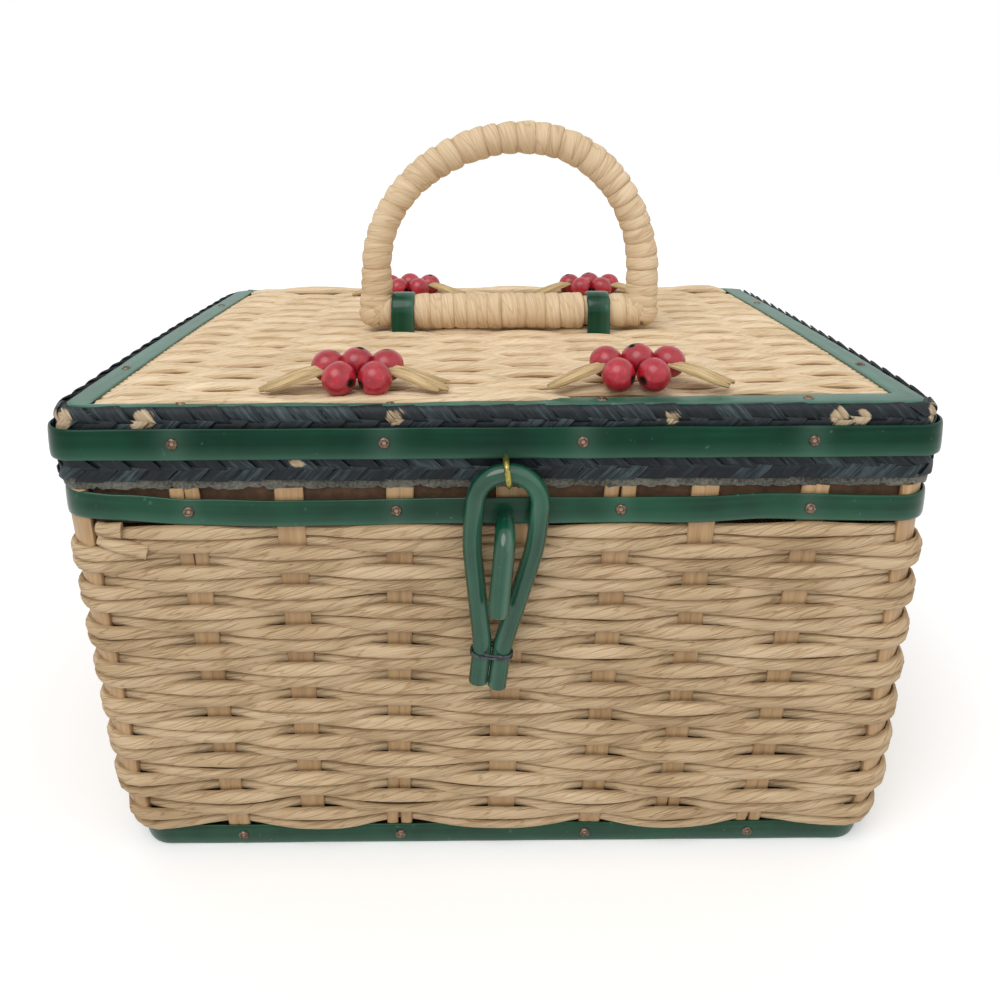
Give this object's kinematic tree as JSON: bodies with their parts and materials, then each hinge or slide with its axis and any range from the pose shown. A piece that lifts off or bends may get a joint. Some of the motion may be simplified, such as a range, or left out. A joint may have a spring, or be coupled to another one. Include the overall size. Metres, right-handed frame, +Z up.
{
  "type": "woven sewing basket",
  "caption": "Rectangular woven sewing basket with a hinged lid, a wrapped swing handle, berry trims and a loop and peg catch.",
  "frame": {"origin": "centre of the base, on the surface that the basket stands on", "axes": "+Z up, +X to the right along the long side, -Y out of the front face with the catch"},
  "size_m": [0.301, 0.2459, 0.2679],
  "materials": {
    "cord": "twisted paper cord, matte, tan beige",
    "lid_cord": "flat paper cord, matte, light cream",
    "reed": "flat reed, satin, warm tan",
    "board": "fibreboard, matte, dark brown",
    "green_strip": "plastic strip, glossy, deep green",
    "green_tube": "plastic tube, glossy, deep green",
    "braid": "braided cord, matte, navy with tan flecks",
    "lining": "cloth on card, matte, light",
    "hoop": "bent wood strip, matte",
    "rivet": "hollow rivet, dull copper grey",
    "wire": "bent wire, yellowish, half gloss",
    "binding": "twisted wire, dark grey",
    "core": "stiff wire, plain",
    "berry": "round bead, red with a pinkish sheen",
    "leaf": "raffia leaf, tan and olive, matte"
  },
  "bodies": {
    "basket": {"bottom_board": "board", "base_band": "green_strip", "base_rivets": "rivet", "front_stakes": "reed", "back_stakes": "reed", "left_stakes": "reed", "right_stakes": "reed", "corner_stakes": "reed", "body_weave": "cord", "rim_hoop": "hoop", "rim_band": "green_strip", "rim_rivets": "rivet", "body_lining": "lining", "catch_peg": "green_tube", "hinge_staples": "wire"},
    "lid": {"lid_hoop": "hoop", "lid_braid": "braid", "lid_side_band": "green_strip", "lid_top_band": "green_strip", "lid_stakes": "reed", "lid_weave": "lid_cord", "lid_liner": "lining", "lid_side_rivets": "rivet", "lid_top_rivets": "rivet", "handle_straps": "green_strip", "front_left_berries": "berry", "front_right_berries": "berry", "back_left_berries": "berry", "back_right_berries": "berry", "front_left_leaves": "leaf", "front_right_leaves": "leaf", "back_left_leaves": "leaf", "back_right_leaves": "leaf", "catch_staple": "wire", "hinge_strips": "green_strip"},
    "handle": {"handle_core": "core", "handle_ends": "lid_cord", "arch_wrap": "lid_cord", "bar_wrap": "lid_cord"},
    "catch_loop": {"loop_tube": "green_tube", "loop_binding": "binding"}
  },
  "joints": [
    {"name": "lid_hinge", "type": "hinge", "parent": "basket", "child": "lid", "pos_m": [0, 0.11628, 0.1475], "axis": [-1, 0, 0], "range_deg": [0, 105]},
    {"name": "handle_swing", "type": "hinge", "parent": "lid", "child": "handle", "pos_m": [0, 0, 0.18194], "axis": [1, 0, 0], "range_deg": [-78, 78]},
    {"name": "catch_loop_swing", "type": "hinge", "parent": "lid", "child": "catch_loop", "pos_m": [0.0036, -0.1173, 0.1519], "axis": [-1, 0, 0], "range_deg": [0, 150]}
  ]
}
